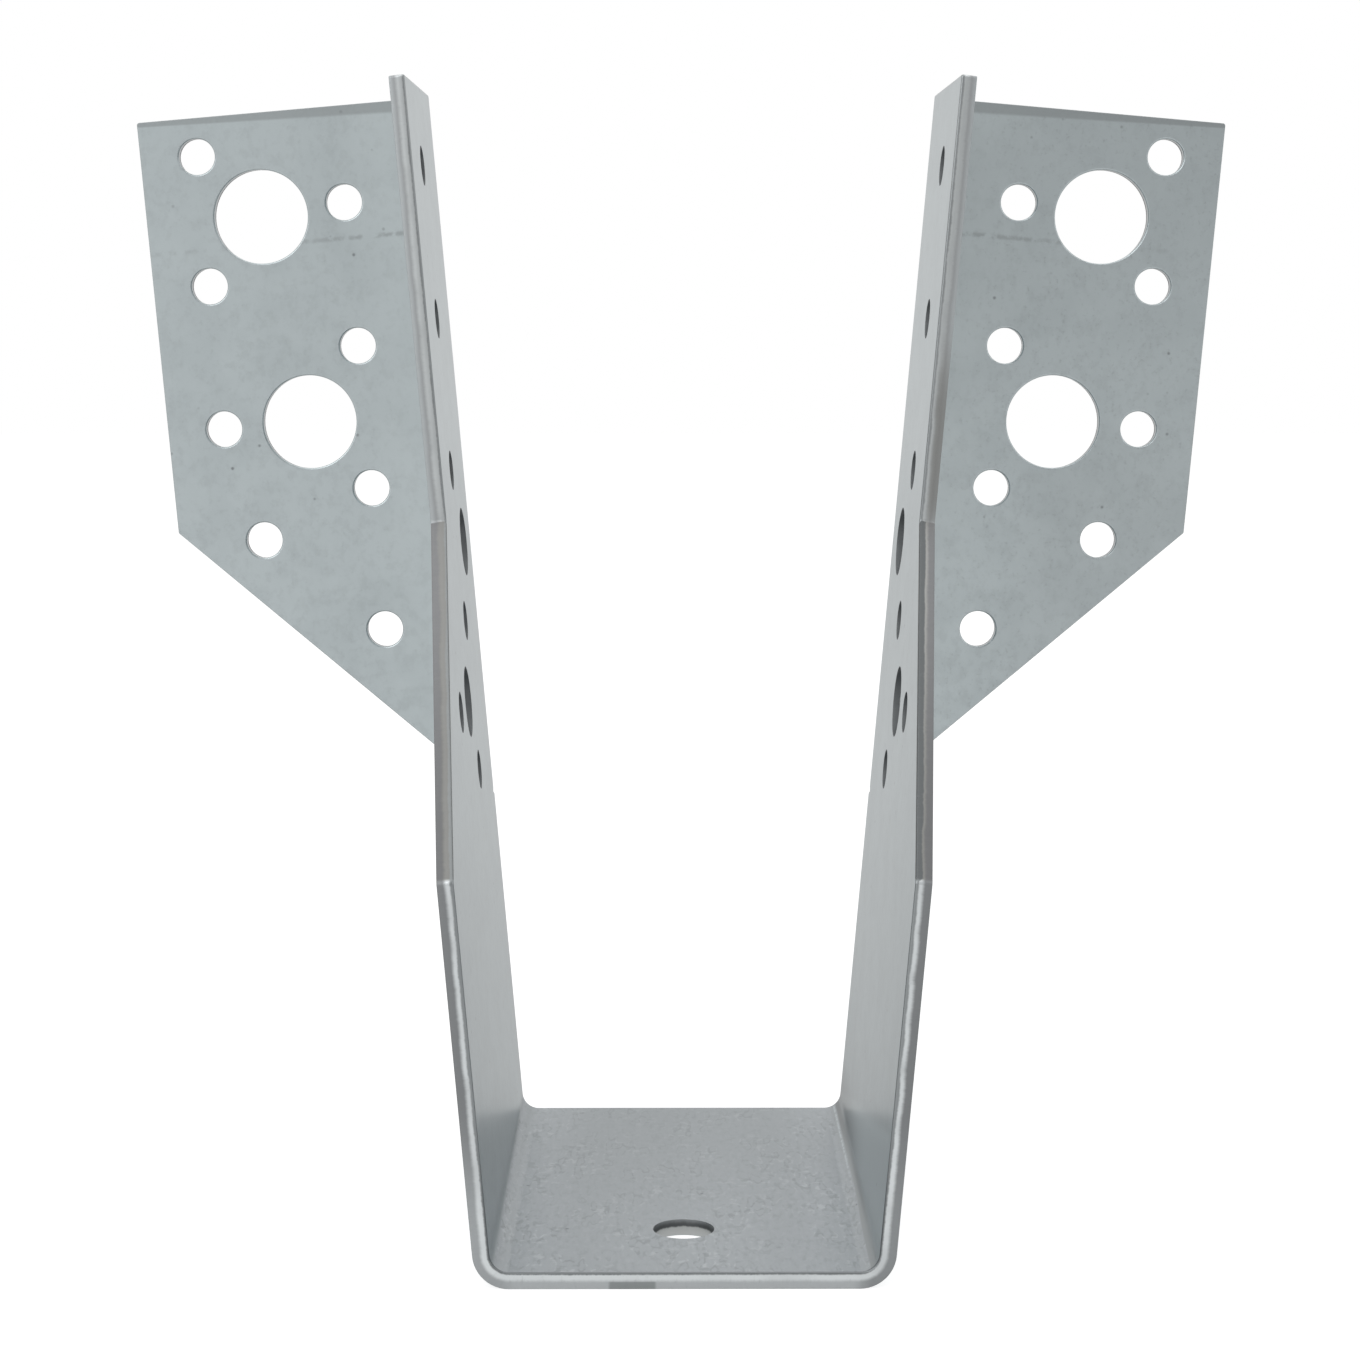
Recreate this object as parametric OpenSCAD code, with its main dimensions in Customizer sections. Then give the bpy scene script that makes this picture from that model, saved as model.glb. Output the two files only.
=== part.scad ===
// Face fixed joist hanger, folded from one punched steel sheet.
// Units are millimetres.
// X runs across the joist, Z is up and -Y points from the header along the joist.
// The sub-parts are drawn with the header plane, where the flanges bear, at y = 0
// and with the underside of the seat at z = 0.
// The finished hanger is then moved back by half its depth, so that it stands on z = 0
// with the origin in the middle of its footprint.

/* [Sheet] */
// Sheet thickness
sheet_t = 2; // [1.5:0.1:3]
// Inner radius of every bend
bend_r = 2.3; // [1.5:0.1:4]
// Lean of each wall outwards from upright, degrees
splay = 5; // [1:0.5:8]

/* [Seat] */
// Clear width between the walls, measured where they meet the seat
joist_w = 45; // [38:1:64]
// Header plane to the front edge of the seat
seat_front = 73.5; // [68:0.5:90]
// Header plane to the back edge of the seat
seat_back = 3; // [2:0.5:4]
// Header plane to the middle of the seat hole
seat_hole_y = 57.5; // [45:0.5:62]
// Diameter of the seat hole
seat_hole_d = 7.5; // [5:0.5:10]

/* [Walls] */
// Top face of the seat to the top edge, measured along the wall
wall_h = 143.4; // [142:0.2:160]
// Height at which the walls start to narrow, along the wall
narrow_from = 46; // [40:1:50]
// Height at which the walls have narrowed to their upper depth
narrow_to = 86; // [76:1:90]
// Header plane to the front edge of the upper wall
wall_top_depth = 38.5; // [36:0.5:45]
// Fall of the top edge of the wall towards its front
top_fall = 1.2; // [0.2:0.1:3]

/* [Flanges] */
// Inner face of the wall to the outer edge of the flange
flange_w = 41; // [40:0.5:50]
// Slope of the lower edge of the flange, degrees from level
flange_slope = 45; // [40:1:50]

/* [Header holes] */
// Diameter of the nail holes
nail_d = 5; // [3:0.5:6]
// Diameter of the anchor bolt holes
anchor_d = 13; // [9:0.5:14]
// Spacing of the nails down a column
nail_pitch = 20; // [18:0.5:20]
// Inner face of the wall to the inner nail column
inner_nail_x = 13.3; // [12:0.1:14]
// Height of the top nail of the inner column
inner_nail_z = 130; // [128:0.5:134]
// Inner face of the wall to the outer nail column
outer_nail_x = 33.1; // [32:0.1:36]
// Height of the top nail of the outer column
outer_nail_top_z = 138; // [137:0.5:138]
// Height of the middle nail of the outer column
outer_nail_mid_z = 120; // [118:0.5:122]
// Height of the low nail of the outer column
outer_nail_low_z = 100; // [98:0.5:102]
// Inner face of the wall to the nail by the lower corner
corner_nail_x = 29; // [27:0.5:31]
// Height of the nail by the lower corner
corner_nail_z = 84; // [82:0.5:86]
// Inner face of the wall to the upper anchor hole
upper_anchor_x = 25; // [24:0.5:26]
// Height of the upper anchor hole
upper_anchor_z = 129; // [128:0.5:131]
// Inner face of the wall to the lower anchor hole
lower_anchor_x = 21; // [20:0.5:22]
// Height of the lower anchor hole
lower_anchor_z = 100; // [99:0.5:101]

/* [Joist holes] */
// Diameter of the bolt holes through the walls
bolt_d = 9; // [6:0.5:10]
// Header plane to the nail column of the wall
wall_nail_y = 24; // [22:0.5:26]
// Height of the lowest nail of the column
wall_nail_z = 52; // [50:0.5:54]
// Header plane to the upper bolt hole
upper_bolt_y = 15; // [13:0.5:16]
// Height of the upper bolt hole
upper_bolt_z = 82; // [80:0.5:84]
// Header plane to the lower bolt hole
lower_bolt_y = 31.5; // [31:0.5:33]
// Height of the lower bolt hole
lower_bolt_z = 62; // [61:0.5:63]
// Header plane to the nail in front of the lower bolt
front_nail_y = 43; // [41:0.5:46]
// Height of the nail in front of the lower bolt
front_nail_z = 62; // [60:0.5:64]

/* [Hidden] */
$fn = 96;
// Nails in the inner flange column
inner_nails = 4;
// Nails in the wall column
wall_nails = 5;
// Outer radius of every bend
bend_o = bend_r + sheet_t;
// Distance from the corner of two faces to the start of the bend between them
bend_run = bend_r * tan((90 - splay) / 2);
// Half the width of the flat part of the seat
flat_half = joist_w / 2 - bend_run;
// Overlap that joins the seat and the walls to the bends between them
seam = 0.05;
// Length of the wall that the fold of the flange is joined on
lap = 8;
// How far a cutter reaches past the sheet
past = 1;
// Reach of a cutter that runs off the end of the part
beyond = 40;

// Cross section of one bend, from straight down to the direction of the wall
module bend_section() {
    intersection() {
        difference() {
            circle(r = bend_o);
            circle(r = bend_r);
        }
        polygon([
            [0, 0],
            [0, -2 * bend_o],
            [2 * bend_o, -2 * bend_o],
            [2 * bend_o, -2 * bend_o * tan(splay)]
        ]);
    }
}

// Right half of the cross section of seat, bend and wall
module half_section() {
    square([flat_half + seam, sheet_t]);
    translate([flat_half, bend_o])
        bend_section();
    translate([joist_w / 2, sheet_t])
        rotate(-splay)
            translate([0, bend_run - seam])
                square([sheet_t, wall_h - bend_run + seam]);
}

// Seat and both walls at full depth, before the walls are trimmed
module channel() {
    translate([0, -seat_back, 0])
        rotate([90, 0, 0])
            linear_extrude(height = seat_front - seat_back)
                union() {
                    half_section();
                    mirror([1, 0])
                        half_section();
                }
}

// Frame of the right wall: x = 0 is its inner face and z runs up along it
module on_wall() {
    translate([joist_w / 2, 0, sheet_t])
        rotate([0, splay, 0])
            children();
}

// Cross section of wall, fold and flange, seen along the fold
module flange_section() {
    translate([0, -bend_o - lap])
        square([sheet_t, lap]);
    intersection() {
        translate([bend_o, -bend_o])
            difference() {
                circle(r = bend_o);
                circle(r = bend_r);
            }
        translate([0, -bend_o])
            square([bend_o, bend_o]);
    }
    translate([bend_o, -sheet_t])
        square([flange_w - bend_o, sheet_t]);
}

// One flange with its fold
module flange() {
    difference() {
        translate([0, 0, narrow_from])
            linear_extrude(height = wall_h - narrow_from)
                flange_section();
        flange_lower_cut();
    }
}

// Prism below the sloping lower edge of the flange
module flange_lower_cut() {
    fall = (flange_w + past) * tan(flange_slope);
    rise = past * tan(flange_slope);
    rotate([90, 0, 0])
        linear_extrude(height = bend_o)
            polygon([
                [-past, narrow_to - fall],
                [flange_w + past, narrow_to + rise],
                [flange_w + past, narrow_to - fall]
            ]);
}

// Everything trimmed off the front and top of one wall, and behind its fold
module wall_trim() {
    rotate([90, 0, -90])
        translate([0, 0, -sheet_t - past])
            linear_extrude(height = sheet_t + 2 * past)
                union() {
                    polygon([
                        [seat_front, narrow_from],
                        [wall_top_depth, narrow_to],
                        [wall_top_depth, wall_h + past],
                        [seat_front + beyond, wall_h + past],
                        [seat_front + beyond, narrow_from]
                    ]);
                    translate([-past, narrow_from])
                        square([bend_o + past, wall_h]);
                }
}

// Sliver above the falling top edge of one wall
module wall_top_cut() {
    rotate([90, 0, -90])
        translate([0, 0, -sheet_t - past])
            linear_extrude(height = sheet_t + 2 * past)
                polygon([
                    [bend_o, wall_h],
                    [wall_top_depth, wall_h - top_fall],
                    [seat_front, wall_h - top_fall],
                    [seat_front, wall_h + past],
                    [bend_o, wall_h + past]
                ]);
}

// Round cutter along Y through the flange, at x and z in the frame of the wall
module header_hole(x, z, d) {
    translate([x, past, z])
        rotate([90, 0, 0])
            cylinder(h = sheet_t + 2 * past, d = d);
}

// Round cutter through the wall, at y in front of the header and height z
module joist_hole(y, z, d) {
    translate([-past, -y, z])
        rotate([0, 90, 0])
            cylinder(h = sheet_t + 2 * past, d = d);
}

// All holes of one flange
module header_holes() {
    for (i = [0 : inner_nails - 1])
        header_hole(inner_nail_x, inner_nail_z - i * nail_pitch, nail_d);
    header_hole(outer_nail_x, outer_nail_top_z, nail_d);
    header_hole(outer_nail_x, outer_nail_mid_z, nail_d);
    header_hole(outer_nail_x, outer_nail_low_z, nail_d);
    header_hole(corner_nail_x, corner_nail_z, nail_d);
    header_hole(upper_anchor_x, upper_anchor_z, anchor_d);
    header_hole(lower_anchor_x, lower_anchor_z, anchor_d);
}

// All holes of one wall
module joist_holes() {
    for (i = [0 : wall_nails - 1])
        joist_hole(wall_nail_y, wall_nail_z + i * nail_pitch, nail_d);
    joist_hole(front_nail_y, front_nail_z, nail_d);
    joist_hole(upper_bolt_y, upper_bolt_z, bolt_d);
    joist_hole(lower_bolt_y, lower_bolt_z, bolt_d);
}

// Hole through the seat for a screw up into the joist
module seat_hole() {
    translate([0, -seat_hole_y, -past])
        cylinder(h = sheet_t + 2 * past, d = seat_hole_d);
}

// The folded sheet before any hole is punched
module folded_sheet() {
    difference() {
        channel();
        for (side = [0, 1])
            mirror([side, 0, 0])
                on_wall()
                    wall_trim();
    }
    for (side = [0, 1])
        mirror([side, 0, 0])
            on_wall()
                flange();
}

// The whole hanger, one folded and punched sheet
module joist_hanger() {
    color("silver")
        translate([0, seat_front / 2, 0])
            difference() {
                folded_sheet();
                for (side = [0, 1])
                    mirror([side, 0, 0])
                        on_wall() {
                            wall_top_cut();
                            header_holes();
                            joist_holes();
                        }
                seat_hole();
            }
}

joist_hanger();
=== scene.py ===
"""A face fixed joist hanger, folded from one punched sheet of galvanised steel.

The sheet is worked out as it is made. A flat blank is punched, its cut edges get the
rolled-over, burnished and broken bands of a sheared edge, and the blank is then folded:
up along both sides of the seat, and outwards along the back of both walls.

A point of the blank has three coordinates, all in metres:
    across  from the middle of the seat out over the bend and up the wall,
            negative on the left,
    depth   from the header plane towards the front of the seat, and on below zero
            round the fold and out over the flange,
    through from the face towards the joist and the header to the other face.
"""

from __future__ import annotations

import logging
import math
from dataclasses import dataclass, field
from enum import Enum
from typing import Any, Mapping, Optional, Sequence, Tuple, Union

import bpy
import numpy as np
from mathutils.geometry import delaunay_2d_cdt
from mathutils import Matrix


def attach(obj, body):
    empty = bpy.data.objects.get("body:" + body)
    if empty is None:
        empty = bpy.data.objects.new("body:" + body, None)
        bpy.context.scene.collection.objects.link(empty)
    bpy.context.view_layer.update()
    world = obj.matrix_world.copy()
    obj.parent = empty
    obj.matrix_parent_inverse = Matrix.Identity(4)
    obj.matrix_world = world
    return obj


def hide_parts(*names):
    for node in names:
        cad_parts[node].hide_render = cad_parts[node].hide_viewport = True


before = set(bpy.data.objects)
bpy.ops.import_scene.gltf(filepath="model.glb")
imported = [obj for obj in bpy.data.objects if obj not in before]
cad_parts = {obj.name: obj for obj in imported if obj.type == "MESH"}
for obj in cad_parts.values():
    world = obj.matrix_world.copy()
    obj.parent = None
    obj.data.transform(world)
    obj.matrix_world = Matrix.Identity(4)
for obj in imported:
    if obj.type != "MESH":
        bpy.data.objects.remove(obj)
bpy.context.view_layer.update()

log = logging.getLogger("joist_hanger")

MM = 0.001
WHITE = (1.0, 1.0, 1.0, 1.0)
BLANK_ATTRIBUTE = "blank"

Colour = Tuple[float, float, float, float]
Value = Union[float, "Signal"]
Paint = Union[Colour, "Signal"]


class Side(Enum):
    """The two halves of the hanger, as the sign of x."""

    LEFT = -1.0
    RIGHT = 1.0


class Surface(Enum):
    """Material slots of the sheet."""

    SKIN = 0
    SHEARED = 1
    PUNCHED = 2


# Shader maths


class Signal:
    """An output socket, so that shader maths reads as Python expressions."""

    def __init__(self, graph: "Graph", socket: bpy.types.NodeSocket) -> None:
        """Keeps the socket and the graph that it belongs to.

        Args:
            graph: the node tree being written.
            socket: the output that carries this value.
        """
        self.graph = graph
        self.socket = socket

    def maths(self, operation: str, *others: Value, swap: bool = False) -> "Signal":
        """Adds one Math node.

        Args:
            operation: the operation of the Math node.
            others: the further operands, after this one.
            swap: puts this signal after the first of the others.

        Returns:
            The result of the node.
        """
        operands: list[Value] = [self, *others]
        if swap:
            operands[0], operands[1] = operands[1], operands[0]
        return self.graph.signal(
            "ShaderNodeMath",
            0,
            {"operation": operation},
            dict(enumerate(operands)),
        )

    def __add__(self, other: Value) -> "Signal":
        """The sum."""
        return self.maths("ADD", other)

    def __radd__(self, other: Value) -> "Signal":
        """The sum, with a number first."""
        return self.maths("ADD", other)

    def __sub__(self, other: Value) -> "Signal":
        """The difference."""
        return self.maths("SUBTRACT", other)

    def __rsub__(self, other: Value) -> "Signal":
        """The difference, with a number first."""
        return self.maths("SUBTRACT", other, swap=True)

    def __mul__(self, other: Value) -> "Signal":
        """The product."""
        return self.maths("MULTIPLY", other)

    def __rmul__(self, other: Value) -> "Signal":
        """The product, with a number first."""
        return self.maths("MULTIPLY", other)

    def __truediv__(self, other: Value) -> "Signal":
        """The quotient."""
        return self.maths("DIVIDE", other)

    def __abs__(self) -> "Signal":
        """The distance from zero."""
        return self.maths("ABSOLUTE")

    def highest(self, other: Value) -> "Signal":
        """The larger of two values."""
        return self.maths("MAXIMUM", other)

    def ramp(self, start: float, end: float) -> "Signal":
        """A smooth rise from 0 at start to 1 at end, also where start is the larger.

        Args:
            start: the value that gives 0.
            end: the value that gives 1.

        Returns:
            The rise as a signal.
        """
        low, high = min(start, end), max(start, end)
        floor, ceiling = (0.0, 1.0) if start <= end else (1.0, 0.0)
        return self.graph.signal(
            "ShaderNodeMapRange",
            0,
            {"interpolation_type": "SMOOTHSTEP"},
            {0: self, 1: low, 2: high, 3: floor, 4: ceiling},
        )


@dataclass(frozen=True)
class Fade:
    """A smooth change from 0 at start to share at end, also where start is the larger."""

    start: float
    end: float
    share: float = 1.0

    def of(self, value: Signal) -> Signal:
        """How far the change has gone at a value."""
        change = value.ramp(self.start, self.end)
        return change if self.share == 1.0 else change * self.share


@dataclass(frozen=True)
class Hill:
    """A smooth hill: 1 within core of its middle, falling to 0 at reach from it."""

    middle: float
    reach: float
    core: float

    def of(self, value: Signal) -> Signal:
        """The height of the hill at a value."""
        return abs(value - self.middle).ramp(self.reach, self.core)


@dataclass(frozen=True)
class Noise:
    """Soft noise between 0 and 1.

    size is the size of its blotches, detail the octaves of finer noise on top and
    roughness their weight. scale shrinks its coordinates on the three axes, and so draws
    the blotches out where it is below 1.
    """

    size: float
    detail: float
    roughness: float
    scale: Tuple[float, float, float] = (1.0, 1.0, 1.0)

    def of(self, place: Signal) -> Signal:
        """Adds the noise to the material of its coordinates.

        Args:
            place: the coordinates that it follows, in metres.

        Returns:
            The noise.
        """
        scaled = place.graph.signal(
            "ShaderNodeMapping",
            0,
            {"vector_type": "POINT"},
            {"Vector": place, "Scale": self.scale},
        )
        return place.graph.signal(
            "ShaderNodeTexNoise",
            0,
            {"noise_dimensions": "3D"},
            {
                "Vector": scaled,
                "Scale": 1.0 / self.size,
                "Detail": self.detail,
                "Roughness": self.roughness,
            },
        )


class Graph:
    """The node tree of one material or of the world."""

    def __init__(self, tree: bpy.types.NodeTree) -> None:
        """Starts an empty tree."""
        tree.nodes.clear()
        self.tree = tree

    @classmethod
    def of_material(cls, name: str) -> Tuple[bpy.types.Material, "Graph"]:
        """Starts a new material.

        Args:
            name: the name of the material.

        Returns:
            The material and its empty tree.
        """
        material = bpy.data.materials.new(name)
        material.use_nodes = True
        return material, cls(material.node_tree)

    def node(
        self,
        kind: str,
        settings: Optional[Mapping[str, Any]] = None,
        inputs: Optional[Mapping[Union[int, str], Any]] = None,
    ) -> bpy.types.Node:
        """Adds a node.

        Args:
            kind: the type of the node.
            settings: its properties, set before its sockets.
            inputs: values or signals for its sockets, by name or by number.

        Returns:
            The new node.
        """
        node = self.tree.nodes.new(kind)
        for name, value in (settings or {}).items():
            setattr(node, name, value)
        for key, value in (inputs or {}).items():
            if isinstance(value, Signal):
                self.tree.links.new(value.socket, node.inputs[key])
            else:
                node.inputs[key].default_value = value
        return node

    def signal(
        self,
        kind: str,
        output: Union[int, str],
        settings: Optional[Mapping[str, Any]] = None,
        inputs: Optional[Mapping[Union[int, str], Any]] = None,
    ) -> Signal:
        """Adds a node and returns one of its outputs.

        Args:
            kind: the type of the node.
            output: the name or number of the output.
            settings: its properties, set before its sockets.
            inputs: values or signals for its sockets, by name or by number.

        Returns:
            The output as a signal.
        """
        return Signal(self, self.node(kind, settings, inputs).outputs[output])

    def mix(self, share: Value, below: Paint, above: Paint) -> Signal:
        """Blends two colours.

        Args:
            share: the part of the second colour, from 0 to 1.
            below: the colour at 0.
            above: the colour at 1.

        Returns:
            The blended colour.
        """
        return self.signal(
            "ShaderNodeMix",
            2,
            {"data_type": "RGBA"},
            {0: share, 6: below, 7: above},
        )

    def split(self, vector: Signal) -> Tuple[Signal, Signal, Signal]:
        """Takes a vector apart.

        Args:
            vector: the vector.

        Returns:
            Its three numbers.
        """
        parts = self.node("ShaderNodeSeparateXYZ", None, {0: vector})
        x, y, z = (Signal(self, output) for output in parts.outputs)
        return x, y, z

    def metal(
        self,
        colour: Signal,
        roughness: Signal,
        relief: Signal,
        strength: float,
        depth: float,
        glance: Colour = WHITE,
    ) -> None:
        """Ends the tree in bare metal with a bump.

        Args:
            colour: the colour of the metal.
            roughness: its roughness.
            relief: the height of the bump, from 0 to 1.
            strength: the strength of the bump.
            depth: its depth, in metres.
            glance: the tint of what the metal mirrors at a glancing angle.
        """
        normal = self.signal(
            "ShaderNodeBump",
            0,
            None,
            {"Strength": strength, "Distance": depth, "Height": relief},
        )
        shader = self.signal(
            "ShaderNodeBsdfPrincipled",
            0,
            None,
            {
                "Base Color": colour,
                "Metallic": 1.0,
                "Roughness": roughness,
                "Specular Tint": glance,
                "Normal": normal,
            },
        )
        self.node("ShaderNodeOutputMaterial", None, {"Surface": shader})


@dataclass(frozen=True)
class BlankPlace:
    """Where a shaded point lies in the blank, whole and coordinate by coordinate.

    sideways is across with its sign, and on_right is 1 on the right half.
    """

    place: Signal
    sideways: Signal
    across: Signal
    depth: Signal
    through: Signal
    on_right: Signal

    @classmethod
    def of(cls, graph: Graph) -> "BlankPlace":
        """Reads the coordinates that the mesh carries.

        The two halves blend over the middle 4 mm of the seat.

        Args:
            graph: the material being written.

        Returns:
            The coordinates.
        """
        place = graph.signal(
            "ShaderNodeAttribute",
            "Vector",
            {"attribute_type": "GEOMETRY", "attribute_name": BLANK_ATTRIBUTE},
        )
        sideways, depth, through = graph.split(place)
        return cls(
            place=place,
            sideways=sideways,
            across=abs(sideways),
            depth=depth,
            through=through,
            on_right=sideways.ramp(-2.0 * MM, 2.0 * MM),
        )

    def by_side(self, left: float, right: float) -> Signal:
        """A value that differs between the two halves."""
        return self.on_right * (right - left) + left


@dataclass(frozen=True)
class ZincSkin:
    """The mill's zinc coating: dull and faintly mottled, with fine dark flecks and pits.

    The seat, which the joist and the press have rubbed, is rougher and has a short grain
    that runs from back to front. The rubbing ends in a clear line part way up each bend.
    Painted light lies on the inner faces of seat and walls and on the front faces of the
    flanges, which are the far faces of the sheet: a painted sheen low on the walls and near
    the flanges' folds, painted shade above the rubbing's line, over the seat and in a band
    under the top edge of each flange, and a painted highlight line in the right bend. A
    flange's smudged cross line and duller corner lie there too.
    """

    name: str = "galvanised_zinc"
    pale: Colour = (0.452, 0.500, 0.512, 1.0)
    clouded: Colour = (0.428, 0.474, 0.486, 1.0)
    seat: Colour = (0.433, 0.458, 0.476, 1.0)
    fleck: Colour = (0.52, 0.545, 0.56, 1.0)
    dark_fleck: Colour = (0.25, 0.268, 0.275, 1.0)
    speck: Colour = (0.17, 0.18, 0.185, 1.0)
    smudge_and_shade: Colour = (0.27, 0.29, 0.295, 1.0)
    painted_shade: Colour = (0.16, 0.174, 0.178, 1.0)
    painted_highlight: Colour = (0.66, 0.72, 0.73, 1.0)
    glance: Colour = (0.88, 0.88, 0.88, 1.0)
    roughness: float = 0.34
    wall_roughness: float = 0.29
    seat_roughness: float = 0.46
    uneven_roughness: float = 0.08
    flange_relief: float = 0.35
    seat_relief: float = 0.65
    bump_strength: float = 0.10
    bump_depth: float = 0.06 * MM

    # From the start of the flange, and through the sheet
    flange_edge: Fade = Fade(0.4 * MM, 0.0)
    inner_face: Fade = Fade(1.2 * MM, 0.8 * MM)

    # The noises, and how they turn into marks
    clouds: Noise = Noise(7.0 * MM, 3.0, 0.55)
    mottle: Noise = Noise(1.4 * MM, 3.0, 0.6)
    flecks: Noise = Noise(0.5 * MM, 2.0, 0.6)
    grain: Noise = Noise(0.7 * MM, 3.0, 0.6, (1.0, 0.3, 1.0))
    scratches: Noise = Noise(1.3 * MM, 1.0, 0.5, (1.0, 0.3, 1.0))
    patches: Noise = Noise(9.0 * MM, 2.0, 0.5)
    speck_spacing: float = 2.8 * MM
    clouding: Fade = Fade(0.36, 0.66)
    mottling: Fade = Fade(0.44, 0.70, 0.16)
    pocks: Fade = Fade(0.55, 0.70)
    pocked_places: Fade = Fade(0.35, 0.60)
    pocks_left: float = 0.12
    pocks_right: float = 0.28
    patchiness: Fade = Fade(0.40, 0.60, 0.75)
    light_grain: Fade = Fade(0.52, 0.68, 0.22)
    dark_grain: Fade = Fade(0.48, 0.32, 0.20)
    raised_scratch: Hill = Hill(0.52, 0.07, 0.02)
    raised_places: Fade = Fade(0.50, 0.60, 0.95)
    sunk_scratch: Hill = Hill(0.43, 0.07, 0.02)
    sunk_places: Fade = Fade(0.56, 0.46, 0.45)
    speck_edge: Fade = Fade(0.12, 0.03)
    specked_cells: Fade = Fade(0.62, 0.98, 0.8)
    glint_places: Fade = Fade(0.36, 0.56, 0.42)

    # The line that ends the rubbing, down from the end of the bend and by depth
    line_below_right: float = 2.07 * MM
    line_drop_right: Fade = Fade(44.0 * MM, 62.0 * MM, 0.45 * MM)
    line_slope_left: float = 0.02

    # Up from that line: the rubbing, and the strip of painted shade
    rubbed_edge: Fade = Fade(-0.25 * MM, -0.6 * MM)
    shade_strip_right: Fade = Fade(2.4 * MM, 0.2 * MM)
    shade_strip_behind: Fade = Fade(9.0 * MM, 1.0 * MM, 0.55)
    shade_strip_faint: Fade = Fade(24.0 * MM, 4.0 * MM, 0.18)
    shade_strip_left: Fade = Fade(1.2 * MM, -0.4 * MM, 0.30)

    # By depth: the strip of painted shade, the painted highlight line, and the painted shade over the
    # seat
    shade_strip_deeper: Fade = Fade(32.0 * MM, 12.0 * MM, 0.2)
    shade_strip_back: Fade = Fade(46.0 * MM, 16.0 * MM)
    glint_back: Fade = Fade(44.0 * MM, 28.0 * MM)
    seat_shade_back: Fade = Fade(68.0 * MM, 2.0 * MM, 0.32)
    seat_shade_front: Fade = Fade(30.0 * MM, 60.0 * MM, 0.20)

    # Up from the start of the bend, for the painted shade over the seat
    less_seat_shade_beside_bend: Fade = Fade(-9.0 * MM, -1.0 * MM, 0.22)
    seat_shade_bend_start: Hill = Hill(0.8 * MM, 1.3 * MM, 0.3 * MM)
    seat_shade_bend: Fade = Fade(-0.3 * MM, 1.8 * MM, 0.24)

    # Up from the end of the bend: less painted shade over the seat, and the painted highlight line
    less_seat_shade_bend_end: Fade = Fade(-3.2 * MM, -1.3 * MM, 0.28)
    bend_glint: Hill = Hill(-2.9 * MM, 0.30 * MM, 0.08 * MM)

    # Shares of the painted shade over the seat and of the painted sheen on the two halves
    seat_shade_left: float = 0.18
    seat_shade_right: float = 0.12
    shine_left: float = 0.08
    shine_right: float = 0.76

    # The painted sheen: the foot of the wall by height, less a share of the depth, and the flange by
    # its fold
    shine_slope: float = 0.2
    shine_foot: Fade = Fade(2.8 * MM, 0.4 * MM)
    shine_before_fold: Fade = Fade(-12.0 * MM, 0.0, 0.22)

    # The flange's band of painted shade by its own width, its smudged cross line and duller corner by
    # height and offset
    band_width: float = 0.75 * MM
    band_widening: float = 0.028
    band_edge: Fade = Fade(1.10, 0.80, 0.62)
    cross_line: Hill = Hill(125.0 * MM, 0.5 * MM, 0.08 * MM)
    cross_places: Fade = Fade(0.38, 0.58)
    cross_by_fold: Fade = Fade(-28.0 * MM, -4.0 * MM, 0.35)
    cross_share: float = 0.18
    corner_out: Fade = Fade(14.0 * MM, 24.0 * MM)
    corner_down: Fade = Fade(104.0 * MM, 88.0 * MM, 0.18)

    def material(self, sheet: "FoldedSheet") -> bpy.types.Material:
        """Writes the material.

        Args:
            sheet: the sheet, whose sizes place the marks of handling.

        Returns:
            The material.
        """
        material, graph = Graph.of_material(self.name)
        spot = BlankPlace.of(graph)
        on_flange = self.flange_edge.of(spot.depth - sheet.flange_start)
        inner = self.inner_face.of(spot.through)
        marked_face = inner + on_flange * (1.0 - inner * 2.0)

        clouds = self.clouds.of(spot.place)
        mottle = self.mottle.of(spot.place)
        flecks = self.flecks.of(spot.place)
        grain = self.grain.of(spot.place)
        scratches = self.scratches.of(spot.place)
        patches = self.patches.of(spot.place)

        colour = graph.mix(self.clouding.of(clouds), self.pale, self.clouded)
        colour = graph.mix(self.mottling.of(mottle), colour, self.smudge_and_shade)
        pocked = self.pocks.of(flecks) * self.pocked_places.of(mottle) * on_flange
        pocked = pocked * spot.by_side(self.pocks_left, self.pocks_right)
        colour = graph.mix(pocked, colour, self.dark_fleck)
        # painted sheen, low on the walls and near the flanges' folds
        shine = self.painted_low_sheen(spot, sheet, on_flange) * marked_face
        colour = graph.mix(shine, colour, self.painted_highlight)

        line = self.rubbed_line(spot, sheet)
        # painted shade in a strip above the rubbing's line, darkest in the right bend
        colour = graph.mix(self.painted_shade_strip(spot, line) * inner, colour, self.painted_shade)
        rubbed = self.rubbed_edge.of(line) * inner
        colour = graph.mix(rubbed, colour, self.seat)
        patched = (self.patchiness.of(patches) + (1.0 - self.patchiness.share)) * rubbed
        raised = self.raised_scratch.of(scratches) * self.raised_places.of(mottle)
        sunk = self.sunk_scratch.of(scratches) * self.sunk_places.of(mottle)
        colour = graph.mix(self.light_grain.of(grain) * rubbed, colour, self.fleck)
        colour = graph.mix(self.dark_grain.of(grain) * rubbed, colour, self.dark_fleck)
        colour = graph.mix(raised * patched, colour, self.fleck)
        colour = graph.mix(sunk * patched, colour, self.dark_fleck)
        # painted shade over the seat: darker towards its back and over the bends
        colour = graph.mix(self.painted_seat_shade(spot, sheet) * rubbed, colour, self.smudge_and_shade)

        # painted highlight: a thin broken light line in the right bend
        bend_glint = self.painted_bend_glint(spot, sheet, mottle) * inner
        colour = graph.mix(bend_glint, colour, self.painted_highlight)
        colour = graph.mix(self.specks(graph, spot), colour, self.speck)
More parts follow.
